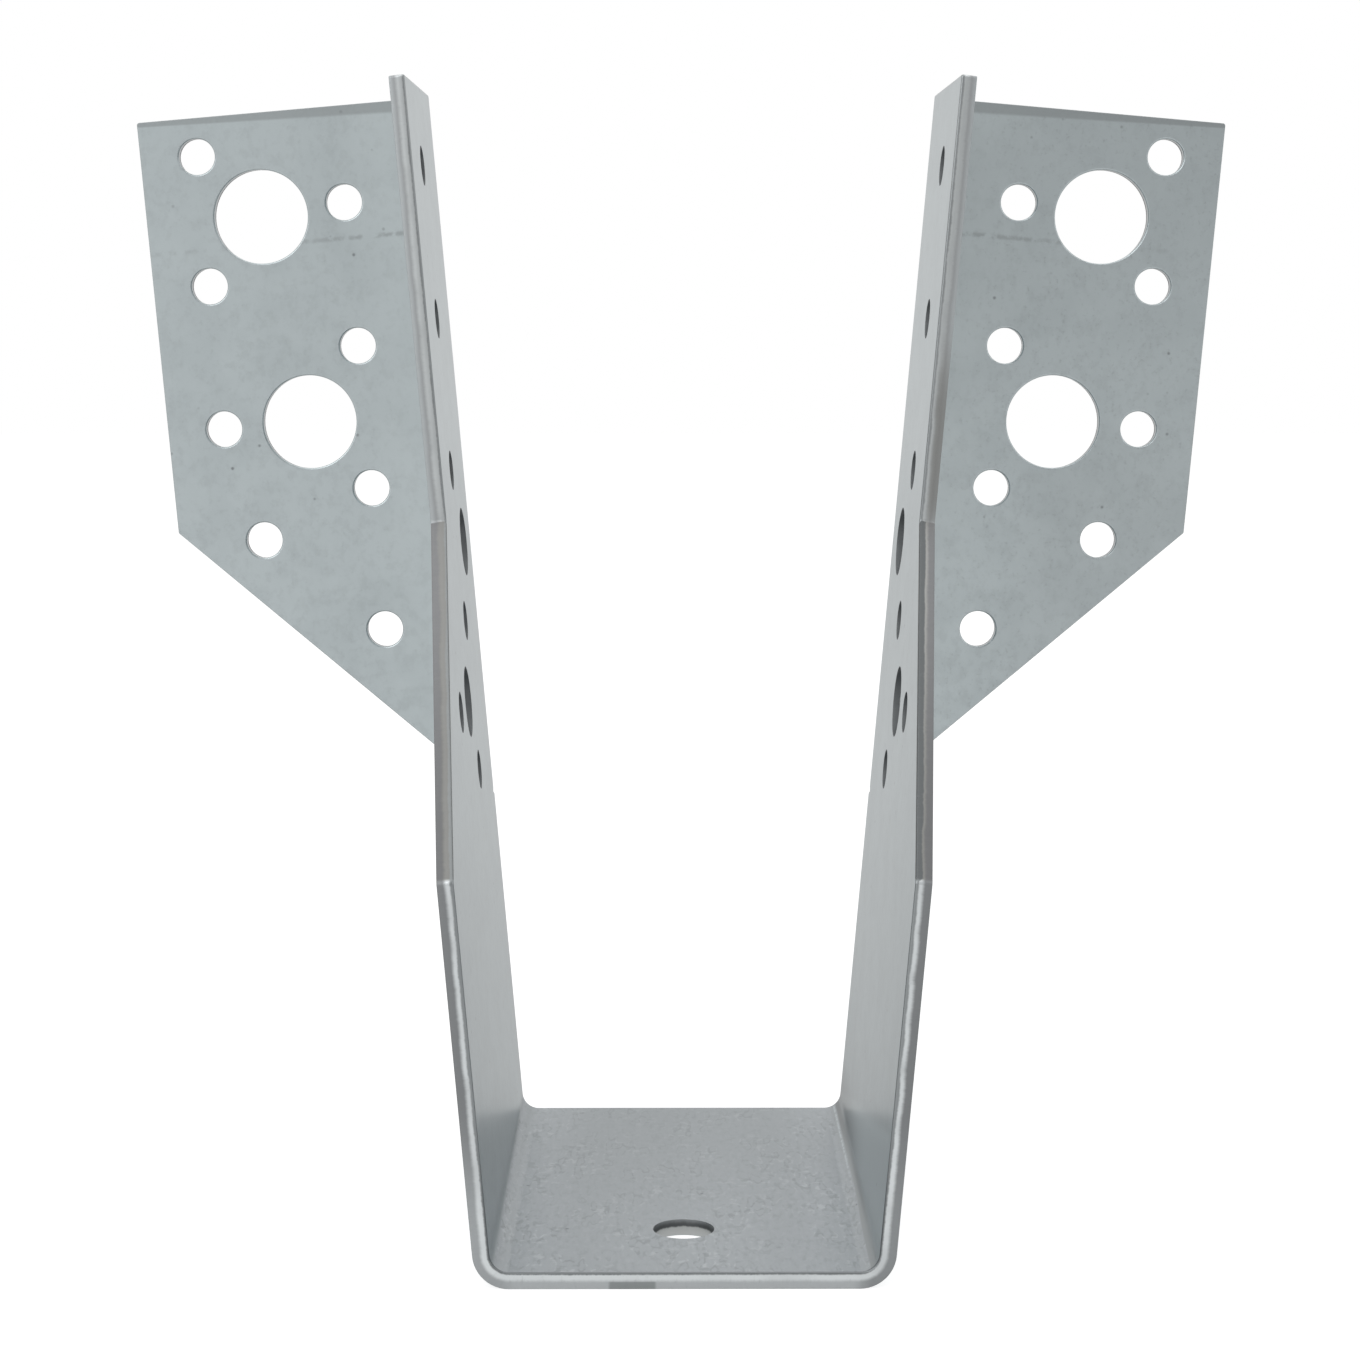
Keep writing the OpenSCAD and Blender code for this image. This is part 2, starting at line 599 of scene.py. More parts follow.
        # painted shade in a band under each flange's top edge, with a smudged cross line and a duller
        # corner
        band_shade_and_smudges = self.flange_band_shade_and_smudge(spot, sheet, mottle) * on_flange
        band_shade_and_smudges = band_shade_and_smudges.highest(self.dull_corner(spot, sheet)) * marked_face
        colour = graph.mix(band_shade_and_smudges, colour, self.smudge_and_shade)

        uneven = (clouds + mottle - 1.0) * self.uneven_roughness
        roughness = self.wall_roughness + on_flange * (self.roughness - self.wall_roughness)
        roughness = roughness + uneven * on_flange
        roughness = roughness + rubbed * (self.seat_roughness - self.wall_roughness)
        relief = mottle * on_flange * self.flange_relief + grain * rubbed * self.seat_relief
        graph.metal(colour, roughness, relief, self.bump_strength, self.bump_depth, self.glance)
        return material

    def rubbed_line(self, spot: BlankPlace, sheet: "FoldedSheet") -> Signal:
        """How far a point lies above the line that ends the rubbing.

        The line crosses less of the right bend than of the left, and on both sides it
        comes down a little towards the front.

        Args:
            spot: the place in the blank.
            sheet: the sheet, for the end of the bends.

        Returns:
            The distance up the bend from the line.
        """
        right = self.line_drop_right.of(spot.depth) + self.line_below_right
        left = spot.depth * self.line_slope_left
        shift = spot.on_right * right + (1.0 - spot.on_right) * left
        return spot.across - sheet.bend_end + shift

    def painted_shade_strip(self, spot: BlankPlace, line: Signal) -> Signal:
        """Painted shade: the dark strip above the line, wide in the right bend and widest
        at its back.

        Args:
            spot: the place in the blank.
            line: the distance up from the line.

        Returns:
            The share of the dark colour.
        """
        deepest = self.shade_strip_deeper.of(spot.depth) + (1.0 - self.shade_strip_deeper.share)
        right = self.shade_strip_right.of(line) * deepest
        behind = self.shade_strip_behind.of(line) + self.shade_strip_faint.of(line)
        right = right.highest(behind * self.shade_strip_back.of(spot.depth))
        left = self.shade_strip_left.of(line)
        return right * spot.on_right + left * (1.0 - spot.on_right)

    def painted_seat_shade(self, spot: BlankPlace, sheet: "FoldedSheet") -> Signal:
        """Painted shade over the seat, darker towards its back and over the middle of the bends.

        Near the front, a narrow strip where the bends start is darker too.

        Args:
            spot: the place in the blank.
            sheet: the sheet, for the bends.

        Returns:
            The share of the colour for smudges and painted shade.
        """
        from_start = spot.across - sheet.bend_start
        start = self.seat_shade_bend_start.of(from_start) * self.seat_shade_front.of(spot.depth)
        dull = spot.by_side(self.seat_shade_left, self.seat_shade_right) + self.seat_shade_back.of(spot.depth)
        dull = dull - self.less_seat_shade_beside_bend.of(from_start) + start
        dull = dull + self.seat_shade_bend.of(from_start)
        return dull - self.less_seat_shade_bend_end.of(spot.across - sheet.bend_end)

    def painted_bend_glint(self, spot: BlankPlace, sheet: "FoldedSheet", mottle: Signal) -> Signal:
        """A painted highlight: a thin broken light line in the right bend, fading towards
        the front.

        Args:
            spot: the place in the blank.
            sheet: the sheet, for the end of the bends.
            mottle: noise that breaks the line up.

        Returns:
            The share of the painted highlight colour.
        """
        line = self.bend_glint.of(spot.across - sheet.bend_end) * spot.on_right
        return line * self.glint_back.of(spot.depth) * self.glint_places.of(mottle)

    def painted_low_sheen(self, spot: BlankPlace, sheet: "FoldedSheet", on_flange: Signal) -> Signal:
        """A painted sheen that brightens the foot of the walls.

        It reaches higher towards the front, by a share of the depth. The flanges are
        brighter too, close to their folds.

        Args:
            spot: the place in the blank.
            sheet: the sheet, for the heights and the fold.
            on_flange: 1 on the flanges.

        Returns:
            The share of the painted highlight colour.
        """
        height = spot.across - sheet.across_at(0.0) - spot.depth * self.shine_slope
        foot = self.shine_foot.of(height) * spot.by_side(self.shine_left, self.shine_right)
        by_fold = self.shine_before_fold.of(spot.depth - sheet.flange_start)
        return foot.highest(by_fold * on_flange)

    def specks(self, graph: Graph, spot: BlankPlace) -> Signal:
        """Small dark pits in the coating, where a cell is near its point and is chosen.

        Args:
            graph: the material being written.
            spot: the place in the blank.

        Returns:
            The share of the speck's colour.
        """
        cells = graph.node(
            "ShaderNodeTexVoronoi",
            {"feature": "F1"},
            {"Vector": spot.place, "Scale": 1.0 / self.speck_spacing, "Randomness": 1.0},
        )
        distance = Signal(graph, cells.outputs["Distance"])
        tint = graph.signal(
            "ShaderNodeSeparateColor", 0, None, {0: Signal(graph, cells.outputs["Color"])}
        )
        return self.speck_edge.of(distance) * self.specked_cells.of(tint)

    def flange_band_shade_and_smudge(self, spot: BlankPlace, sheet: "FoldedSheet", mottle: Signal) -> Signal:
        """Painted shade in a band under the top edge of each flange, and one broken smudged
        cross line.

        Args:
            spot: the place in the blank.
            sheet: the sheet, for the heights.
            mottle: noise that breaks the line up.

        Returns:
            The share of the colour for smudges and painted shade.
        """
        width = (spot.depth - sheet.flange_end) * self.band_widening + self.band_width
        below_top = sheet.across_at(sheet.wall_height) - spot.across
        line = self.cross_line.of(spot.across - sheet.across_at(0.0))
        line = line * self.cross_places.of(mottle)
        line = line * (self.cross_by_fold.of(spot.depth) + self.cross_share)
        return self.band_edge.of(below_top / width).highest(line)

    def dull_corner(self, spot: BlankPlace, sheet: "FoldedSheet") -> Signal:
        """The slightly duller outer lower corner of the right flange.

        Args:
            spot: the place in the blank.
            sheet: the sheet, for the height and the offset.

        Returns:
            The share of the colour for smudges and painted shade.
        """
        offset = sheet.depth_at(0.0) - spot.depth
        height = spot.across - sheet.across_at(0.0)
        return self.corner_out.of(offset) * self.corner_down.of(height) * spot.on_right


@dataclass(frozen=True)
class CutEdge:
    """The sheared outline: a rolled-over line in painted shade, a burnished band, then a broken
    one, with a painted highlight near its far arris up the wall.

    The sloping edge where the wall narrows has tarnished. One dull patch lies on the
    broken band under the front of the seat.
    """

    name: str = "sheared_edge"
    # rolled, rolled_seat, rolled_high and rolled_deep are painted shade on the rolled-over lip;
    # rolled also darkens the tears
    rolled: Colour = (0.262, 0.278, 0.284, 1.0)
    rolled_seat: Colour = (0.185, 0.197, 0.202, 1.0)
    rolled_high: Colour = (0.26, 0.275, 0.281, 1.0)
    rolled_deep: Colour = (0.13, 0.138, 0.141, 1.0)
    burnished: Colour = (0.62, 0.65, 0.66, 1.0)
    burnished_high: Colour = (0.50, 0.525, 0.53, 1.0)
    burnished_seat: Colour = (0.735, 0.77, 0.78, 1.0)
    broken: Colour = (0.235, 0.244, 0.25, 1.0)
    broken_high: Colour = (0.33, 0.343, 0.35, 1.0)
    broken_bend: Colour = (0.41, 0.43, 0.44, 1.0)
    broken_bend_right: Colour = (0.315, 0.33, 0.338, 1.0)
    broken_seat: Colour = (0.49, 0.512, 0.522, 1.0)
    arris_highlight: Colour = (0.43, 0.46, 0.47, 1.0)
    tarnished: Colour = (0.222, 0.223, 0.215, 1.0)
    tarnished_high: Colour = (0.325, 0.326, 0.317, 1.0)
    tarnished_rim: Colour = (0.193, 0.196, 0.20, 1.0)
    tarnished_rim_high: Colour = (0.252, 0.255, 0.26, 1.0)
    patch: Colour = (0.27, 0.29, 0.29, 1.0)

    # The noises, and how far they move the bands through the sheet
    tear: Noise = Noise(0.5 * MM, 3.0, 0.65, (1.0, 1.0, 0.35))
    tear_reach: float = 0.22 * MM
    drift: Noise = Noise(5.0 * MM, 2.0, 0.5)
    drift_reach: float = 0.5 * MM
    drift_held: float = 0.38 * MM

    # The bands through the sheet, with the edges of two of them about their own depths
    rolled_depth: float = 0.40 * MM
    rolled_edge: Fade = Fade(0.14 * MM, -0.1 * MM)
    rolled_start: Fade = Fade(-0.02 * MM, 0.07 * MM)
    thinner_on_seat: float = 0.16 * MM
    thinner_aloft: float = 0.10 * MM
    thicker_in_tarnish: float = 0.40 * MM
    fainter_in_tarnish: float = 0.2
    burnished_depth: float = 0.98 * MM
    burnished_further: float = 0.15 * MM
    broken_edge: Fade = Fade(-0.3 * MM, 0.25 * MM)
    arris_edge: Fade = Fade(1.35 * MM, 1.85 * MM, 0.6)
    tarnish_rim_edge: Fade = Fade(0.9 * MM, 1.35 * MM)
    stain_edge: Fade = Fade(0.4 * MM, 1.1 * MM, 0.75)
    patch_low: Fade = Fade(1.0 * MM, 1.2 * MM)

    # By the value of a noise
    streaks: Fade = Fade(0.40, 0.75, 0.3)
    tears: Fade = Fade(0.55, 0.8, 0.18)

    # By height on the wall
    towards_seat: Fade = Fade(21.0 * MM, 4.0 * MM)
    aloft: Fade = Fade(60.0 * MM, 85.0 * MM)
    worn: Fade = Fade(50.0 * MM, 78.0 * MM)
    worn_left: float = 0.17
    worn_right: float = 0.83
    worn_right_foot: float = 0.17
    stain_above: Fade = Fade(83.0 * MM, 89.0 * MM)
    stain_below: Fade = Fade(112.0 * MM, 100.0 * MM)

    # From the start of the bend, the upper wall's front, the foot of the narrowing, the
    # middle of the seat and the front of the seat
    seat_edge: Fade = Fade(1.5 * MM, -1.0 * MM)
    tarnish_front: Fade = Fade(0.02 * MM, 0.12 * MM)
    tarnish_above: Fade = Fade(0.1 * MM, 0.5 * MM)
    patch_along: Hill = Hill(-6.07 * MM, 2.9 * MM, 2.5 * MM)
    patch_front: Fade = Fade(-1.0 * MM, -0.5 * MM, 0.8)

    edge_roughness: float = 0.36
    broken_roughness: float = 0.2
    uneven_roughness: float = 0.1
    smooth_relief: float = 0.25
    bump_strength: float = 0.25
    bump_depth: float = 0.08 * MM

    def material(self, sheet: "FoldedSheet") -> bpy.types.Material:
        """Writes the material.

        Args:
            sheet: the sheet, whose sizes place the tarnished cut.

        Returns:
            The material.
        """
        material, graph = Graph.of_material(self.name)
        spot = BlankPlace.of(graph)
        height = spot.across - sheet.across_at(0.0)
        on_seat = self.seat_edge.of(spot.across - sheet.bend_start)
        towards_seat = self.towards_seat.of(height)
        aloft = self.aloft.of(height)
        narrowing = self.narrowing(spot, sheet)

        tear = self.tear.of(spot.place)
        drift = self.drift.of(spot.place)
        wander = (drift - 0.5) * (self.drift_reach - towards_seat * self.drift_held)
        level = spot.through + (tear - 0.5) * self.tear_reach + wander

        end = level - self.burnished_depth - aloft * self.burnished_further
        broken = self.broken_edge.of(end)
        bright = graph.mix(aloft, self.burnished, self.burnished_high)
        bright = graph.mix(towards_seat, bright, self.burnished_seat)
        torn_bend = graph.mix(spot.on_right, self.broken_bend, self.broken_bend_right)
        torn = graph.mix(aloft, self.broken, self.broken_high)
        torn = graph.mix(on_seat, graph.mix(towards_seat, torn, torn_bend), self.broken_seat)
        colour = graph.mix(self.streaks.of(drift), bright, torn)
        colour = graph.mix(broken, colour, torn)
        # painted highlight near the far face of the cut, up the wall and on the flanges
        colour = graph.mix(self.arris_edge.of(level) * aloft, colour, self.arris_highlight)
        colour = graph.mix(narrowing, colour, self.tarnish(graph, spot, height, level))

        deep = narrowing * spot.on_right
        thinner = towards_seat * self.thinner_on_seat + aloft * spot.by_side(self.thinner_aloft, 0.0)
        start = level - self.rolled_depth + thinner - deep * self.thicker_in_tarnish
        rolled = self.rolled_edge.of(start) * self.rolled_start.of(spot.through).highest(towards_seat)
        rolled = rolled * (1.0 - narrowing * spot.by_side(self.fainter_in_tarnish, 0.0))
        lip = graph.mix(aloft, self.rolled, self.rolled_high)
        lip = graph.mix(towards_seat, lip, self.rolled_seat)
        # painted shade on the rolled-over lip, darker near the seat and in the right narrowing
        colour = graph.mix(rolled, colour, graph.mix(deep, lip, self.rolled_deep))
        colour = graph.mix(self.dull_patch(spot, sheet), colour, self.patch)
        colour = graph.mix(self.stain(spot, height, level), colour, self.tarnished)
        colour = graph.mix(self.tears.of(tear), colour, self.rolled)

        uneven = narrowing + tear - 0.5
        roughness = self.edge_roughness + broken * self.broken_roughness
        roughness = roughness + uneven * self.uneven_roughness
        relief = tear * (self.smooth_relief + broken * (1.0 - self.smooth_relief))
        graph.metal(colour, roughness, relief, self.bump_strength, self.bump_depth)
        return material

    def tarnish(self, graph: Graph, spot: BlankPlace, height: Signal, level: Signal) -> Signal:
        """The tarnished cut, paler up the wall and darker along its far rim.

        Args:
            graph: the material being written.
            spot: the place in the blank.
            height: the height up the wall.
            level: the uneven depth through the edge.

        Returns:
            The colour of the tarnish.
        """
        worn_up = self.worn.of(height)
        worn = spot.by_side(0.0, self.worn_right_foot)
        worn = worn + worn_up * spot.by_side(self.worn_left, self.worn_right)
        face = graph.mix(worn, self.tarnished, self.tarnished_high)
        rim = graph.mix(worn_up, self.tarnished_rim, self.tarnished_rim_high)
        return graph.mix(self.tarnish_rim_edge.of(level), face, rim)

    def narrowing(self, spot: BlankPlace, sheet: "FoldedSheet") -> Signal:
        """The part of the outline where the wall narrows.

        Args:
            spot: the place in the blank.
            sheet: the sheet.

        Returns:
            1 on the sloping edge and 0 elsewhere.
        """
        in_front = self.tarnish_front.of(spot.depth - sheet.wall_top_depth)
        return in_front * self.tarnish_above.of(spot.across - sheet.across_at(sheet.narrow_from))

    def stain(self, spot: BlankPlace, height: Signal, level: Signal) -> Signal:
        """The darker stretch of the right wall's front edge, just above the narrowing.

        Args:
            spot: the place in the blank.
            height: the height up the wall.
            level: the uneven depth through the edge.

        Returns:
            The share of the tarnish.
        """
        stretch = self.stain_above.of(height) * self.stain_below.of(height)
        return stretch * self.stain_edge.of(level) * spot.on_right

    def dull_patch(self, spot: BlankPlace, sheet: "FoldedSheet") -> Signal:
        """The dull patch on the lower half of the seat's front edge.

        Args:
            spot: the place in the blank.
            sheet: the sheet.

        Returns:
            The share of the patch's colour.
        """
        front = self.patch_front.of(spot.depth - sheet.seat_front)
        return self.patch_along.of(spot.sideways) * self.patch_low.of(spot.through) * front


@dataclass(frozen=True)
class PunchedWall:
    """The wall of a punched hole: dark where it broke out, paler where the punch cut.

    The hole in the seat is paler, and pales towards its torn lip.
    """

    name: str = "punched_hole_wall"
    broken: Colour = (0.13, 0.138, 0.142, 1.0)
    cut: Colour = (0.44, 0.455, 0.46, 1.0)
    torn_lip: Colour = (0.40, 0.42, 0.43, 1.0)
    cut_seat: Colour = (0.57, 0.585, 0.58, 1.0)
    tear: Noise = Noise(0.9 * MM, 3.0, 0.6, (1.0, 1.0, 0.3))
    tear_reach: float = 0.35 * MM
    # Through the sheet, and from the start of the bend
    cut_edge: Fade = Fade(0.78 * MM, 1.02 * MM)
    lip_edge: Fade = Fade(0.65 * MM, -0.05 * MM, 0.8)
    on_seat: Fade = Fade(0.0, -5.0 * MM)
    broken_roughness: float = 0.52
    cut_roughness: float = 0.38
    cut_relief: float = 0.2
    bump_strength: float = 0.2
    bump_depth: float = 0.06 * MM

    def material(self, sheet: "FoldedSheet") -> bpy.types.Material:
        """Writes the material.

        Args:
            sheet: the sheet, for the start of the bends.

        Returns:
            The material.
        """
        material, graph = Graph.of_material(self.name)
        spot = BlankPlace.of(graph)
        tear = self.tear.of(spot.place)
        level = spot.through + (tear - 0.5) * self.tear_reach
        cut = self.cut_edge.of(level)
        on_seat = self.on_seat.of(spot.across - sheet.bend_start)
        colour = graph.mix(self.lip_edge.of(level) * on_seat, self.broken, self.torn_lip)
        colour = graph.mix(cut, colour, graph.mix(on_seat, self.cut, self.cut_seat))
        roughness = self.broken_roughness + cut * (self.cut_roughness - self.broken_roughness)
        relief = tear * (1.0 - cut * (1.0 - self.cut_relief))
        graph.metal(colour, roughness, relief, self.bump_strength, self.bump_depth)
        return material


# The blank and its cuts


def unit(vectors: np.ndarray) -> np.ndarray:
    """Vectors scaled to length 1, one in each row."""
    return vectors / np.linalg.norm(vectors, axis=-1, keepdims=True)


def rounded_corner(
    before: Sequence[float],
    corner: Sequence[float],
    after: Sequence[float],
    radius: float,
    steps: int = 5,
) -> np.ndarray:
    """The arc that rounds one corner of an outline.

    The arc touches both sides. Its centre is on the bisector, radius / sin(half angle)
    from the corner, and its points turn evenly from one touching point to the other.

    Args:
        before: a point on the side that comes in.
        corner: the sharp corner.
        after: a point on the side that goes out.
        radius: the radius of the arc.
        steps: the number of its segments.

    Returns:
        The points of the arc, one in each row.
    """
    tip = np.asarray(corner, dtype=float)
    back = unit(np.asarray(before, dtype=float) - tip)
    onward = unit(np.asarray(after, dtype=float) - tip)
    half = math.acos(float(np.clip(back @ onward, -1.0, 1.0))) / 2.0
    centre = tip + unit(back + onward) * radius / math.sin(half)
    first = unit(tip + back * radius / math.tan(half) - centre)
    last = unit(tip + onward * radius / math.tan(half) - centre)
    turn = math.acos(float(np.clip(first @ last, -1.0, 1.0)))
    share = np.linspace(0.0, 1.0, steps + 1)[:, None]
    spokes = (np.sin((1.0 - share) * turn) * first + np.sin(share * turn) * last) / math.sin(turn)
    return centre + radius * spokes


def rounded_path(path: Sequence[Tuple[float, float]], radii: Sequence[float]) -> np.ndarray:
    """The rounded corners of an open path, one after the other.

    Args:
        path: its sharp points, with both ends.
        radii: the radius of each corner between the ends.

    Returns:
        The points of the arcs, one in each row.
    """
    corners = zip(path, path[1:], path[2:], radii)
    return np.concatenate([rounded_corner(*corner) for corner in corners])


@dataclass(frozen=True)
class CutLoop:
    """One closed cut of the blank, with the metal on its left.

    points holds the cut itself, inward the unit directions into the metal, and inset what
    a point moves by for each metre that the cut is moved into the metal. ties holds the
    pairs of points that a fold line joins, and rim the cross section of the cut: its rows
    and their normals.
    """

    points: np.ndarray
    inward: np.ndarray
    inset: np.ndarray
    ties: np.ndarray
    rim: Tuple[np.ndarray, np.ndarray]

    @classmethod
    def outline(cls, points: np.ndarray, marks: np.ndarray, profile: "RimProfile") -> "CutLoop":
        """An outline, run counter-clockwise, with marks on the ends of its fold lines.

        A point's inward direction is the mean of the normals of its two sides, and the
        inset keeps the sides parallel. On a marked point it runs along the fold line, so
        that the line stays straight when the outline shrinks.

        Args:
            points: the outline, one point in each row.
            marks: the same non-zero number for both ends of a fold line, otherwise 0.
            profile: its cross section.

        Returns:
            The cut.
        """
        side = unit(np.roll(points, -1, axis=0) - points)
        normal = np.stack([-side[:, 1], side[:, 0]], axis=1)
        earlier = np.roll(normal, 1, axis=0)
        inset = (normal + earlier) / (1.0 + np.sum(normal * earlier, axis=1, keepdims=True))
        inward = unit(normal + earlier)
        marked = np.nonzero(marks)[0]
        ties = marked[np.argsort(marks[marked], kind="stable")].reshape(-1, 2)
        for here, there in (ties.T, ties[:, ::-1].T):
            line = unit(points[there] - points[here])
            inset[here] = line / np.sum(line * inward[here], axis=1, keepdims=True)
        return cls(points, inward, inset, ties, (profile.rows(), profile.normals()))


@dataclass(frozen=True)
class RimProfile:
    """The cross section of a sheared edge, from the punched face to the far face.

    Each row is (how far the edge stands back into the metal, how deep it is through the
    sheet). A quarter circle rolls over the punched side, a straight band follows, and
    the broken band leans back to a small break at the far face.
    """

    roll_over: float = 0.25 * MM
    roll_steps: int = 4
    lower: Tuple[Tuple[float, float], ...] = (
        (0.0, 0.90 * MM),
        (0.03 * MM, 1.30 * MM),
        (0.06 * MM, 1.90 * MM),
        (0.08 * MM, 1.97 * MM),
        (0.12 * MM, 2.00 * MM),
    )

    def rows(self) -> np.ndarray:
        """The profile as an array.

        Returns:
            The quarter circle, then the listed points, one in each row.
        """
        angle = np.linspace(0.0, math.pi / 2.0, self.roll_steps + 1)
        arc = self.roll_over * np.stack([1.0 - np.sin(angle), 1.0 - np.cos(angle)], axis=1)
        return np.concatenate([arc, np.array(self.lower)])

    def normals(self) -> np.ndarray:
        """The normals of the profile: straight out of the faces at both ends.

        In between they are the mean of the normals of the two neighbouring steps.

        Returns:
            The normals as (outwards, through), one in each row.
        """
        rows = self.rows()
        steps = unit(np.diff(rows, axis=0))
        facing = np.stack([steps[:, 1], steps[:, 0]], axis=1)
        middle = unit(facing[1:] + facing[:-1])
        return np.concatenate([[[0.0, -1.0]], middle, [[0.0, 1.0]]])

    def flipped(self) -> Tuple[np.ndarray, np.ndarray]:
        """The profile and its normals for a cut made from the far face.

        The rows run in the other order, and both depth and lean are turned round.

        Returns:
            The profile and the normals.
        """
        rows, normals = self.rows()[::-1].copy(), self.normals()[::-1].copy()
        rows[:, 1] = rows[0, 1] - rows[:, 1]
        normals[:, 1] *= -1.0
        return rows, normals


@dataclass(frozen=True)
class Punch:
    """A round punch, and the number of sides of the holes that it makes."""

    diameter: float
    segments: int

    def hole(self, across: float, depth: float, profile: RimProfile) -> CutLoop:
        """A round hole: centre + radius * (cos, sin), run clockwise.

        Args:
            across: its middle in the blank.
            depth: its middle in the blank.
            profile: its cross section, punched from the far face.

        Returns:
            The cut.
        """
        angle = -np.arange(self.segments) * (2.0 * math.pi / self.segments)
        spokes = np.stack([np.cos(angle), np.sin(angle)], axis=1)
        points = np.array([across, depth]) + spokes * self.diameter / 2.0
        ties = np.zeros((0, 2), dtype=int)
        return CutLoop(points, spokes, spokes, ties, profile.flipped())


@dataclass
class FoldedSheet:
    """The whole hanger: seat, walls and flanges, all one folded sheet.

    Heights run up along the wall from the top of the seat. Offsets run out over the
    flange from the inner face of the wall. The seat's hole, punched from below, widens
    upwards to 7.5 mm.
    """

    name: str = "folded_zinc_sheet"
    thickness: float = 2.0 * MM
    bend_radius: float = 2.3 * MM
    splay: float = math.radians(5.0)
    seat_width: float = 45.0 * MM
    seat_front: float = 73.5 * MM
    seat_back: float = 3.0 * MM
    header_plane: float = 36.75 * MM

    wall_height: float = 143.4 * MM
    narrow_from: float = 46.0 * MM
    narrow_to: float = 86.0 * MM
    wall_top_depth: float = 38.5 * MM
    top_fall: float = 1.2 * MM
    flange_width: float = 41.0 * MM
    flange_base: float = 45.0 * MM

    nail: Punch = Punch(5.0 * MM, 48)
    bolt: Punch = Punch(9.0 * MM, 72)
    anchor: Punch = Punch(13.0 * MM, 96)
    seat_screw: Punch = Punch(7.3 * MM, 72)
    seat_screw_depth: float = 57.5 * MM
    # Offset and height of each hole of a flange, in millimetres
    flange_nails: Tuple[Tuple[float, float], ...] = (
        *((13.3, 130.0 - 20.0 * step) for step in range(4)),
        (33.1, 138.0),
        (33.1, 120.0),
        (33.1, 100.0),
        (29.0, 84.0),
    )
    flange_anchors: Tuple[Tuple[float, float], ...] = ((25.0, 129.0), (21.0, 100.0))
    # Depth and height of each hole of a wall, in millimetres
    wall_nails: Tuple[Tuple[float, float], ...] = (
        *((24.0, 52.0 + 20.0 * step) for step in range(5)),
        (43.0, 62.0),
    )
    wall_bolts: Tuple[Tuple[float, float], ...] = ((15.0, 82.0), (31.5, 62.0))

    slit: float = 0.2 * MM
    corner: float = 0.4 * MM
    front_corner: float = 0.8 * MM
    bend_steps: int = 12
    tip_steps: int = 8
    profile: RimProfile = field(default_factory=RimProfile)
    seat_hole_profile: RimProfile = field(
        default_factory=lambda: RimProfile(
            roll_over=0.08 * MM,
            lower=(
                (0.0, 0.90 * MM),
                (0.04 * MM, 1.30 * MM),
                (0.08 * MM, 1.90 * MM),
                (0.085 * MM, 1.97 * MM),
                (0.10 * MM, 2.00 * MM),
            ),
        )
    )
    skin: ZincSkin = field(default_factory=ZincSkin)
    edge: CutEdge = field(default_factory=CutEdge)
    hole_wall: PunchedWall = field(default_factory=PunchedWall)

    def __post_init__(self) -> None:
        """Works out where the bends start and end in the blank."""
        self.outer_radius = self.bend_radius + self.thickness
        self.neutral_radius = self.bend_radius + self.thickness / 2.0
        self.lift = math.pi / 2.0 - self.splay
        self.bend_run = self.bend_radius * math.tan(self.lift / 2.0)
        self.bend_start = self.seat_width / 2.0 - self.bend_run
        self.bend_end = self.bend_start + self.neutral_radius * self.lift
        self.flange_start = self.outer_radius - self.neutral_radius * math.pi / 2.0
        self.flange_end = self.flange_start - (self.flange_width - self.outer_radius)

    def across_at(self, height: float) -> float:
        """The blank's across coordinate of a height on the wall."""
        return self.bend_end + height - self.bend_run

    def depth_at(self, offset: float) -> float:
        """The blank's depth coordinate of an offset on the flange."""
        return self.flange_start - (offset - self.outer_radius)

    def fold(self, blank: np.ndarray) -> np.ndarray:
        """Folds points of the blank into place.

        The seat is flat. Over the bend a point turns about an axis above the seat's edge
        by its distance from the bend's start over the neutral radius. The wall goes on
        straight along the splay. Behind the fold's start a point turns about the axis in
        front of the wall's outer face in the same way, and the flange goes on straight
        out from the wall.

        Args:
            blank: across, depth and through, one point in each row.

        Returns:
            x, y and z of the folded points, in the row frame.
        """
        across, depth, through = np.abs(blank[:, 0]), blank[:, 1], blank[:, 2]
        height = across - self.bend_end + self.bend_run

        turn = np.clip((across - self.bend_start) / self.neutral_radius, 0.0, self.lift)
        reach = self.bend_radius + through
        seat_x = np.minimum(across, self.bend_start) + reach * np.sin(turn)
        seat_z = self.outer_radius - reach * np.cos(turn)

        folded = (depth < self.outer_radius) & (height > self.narrow_from)
        back = np.where(folded, (self.outer_radius - depth) / self.neutral_radius, 0.0)
        back = np.clip(back, 0.0, math.pi / 2.0)
        arm = self.outer_radius - through
        beyond = np.where(folded, np.maximum(self.flange_start - depth, 0.0), 0.0)
        out = self.outer_radius - arm * np.cos(back) + beyond
        near = np.where(folded, self.outer_radius - arm * np.sin(back), depth)
        sine, cosine = math.sin(self.splay), math.cos(self.splay)
        wall_x = self.seat_width / 2.0 + height * sine + out * cosine
        wall_z = self.thickness + height * cosine - out * sine

        on_wall = across > self.bend_end
        x = np.where(on_wall, wall_x, seat_x) * np.sign(blank[:, 0])
        z = np.where(on_wall, wall_z, seat_z)
        return np.stack([x, self.header_plane - near, z], axis=1)

    def directions(self, blank: np.ndarray) -> Tuple[np.ndarray, np.ndarray, np.ndarray]:
        """The unit directions in which the blank's three coordinates grow once folded.

        Each is the difference of the folded places a micrometre to either side.

        Args:
            blank: points of the blank.

        Returns:
            The directions of across, depth and through.
        """
        step = 0.001 * MM
        across, depth, through = (
            unit(self.fold(blank + shift) - self.fold(blank - shift))
            for shift in np.eye(3) * step
        )
        return across, depth, through

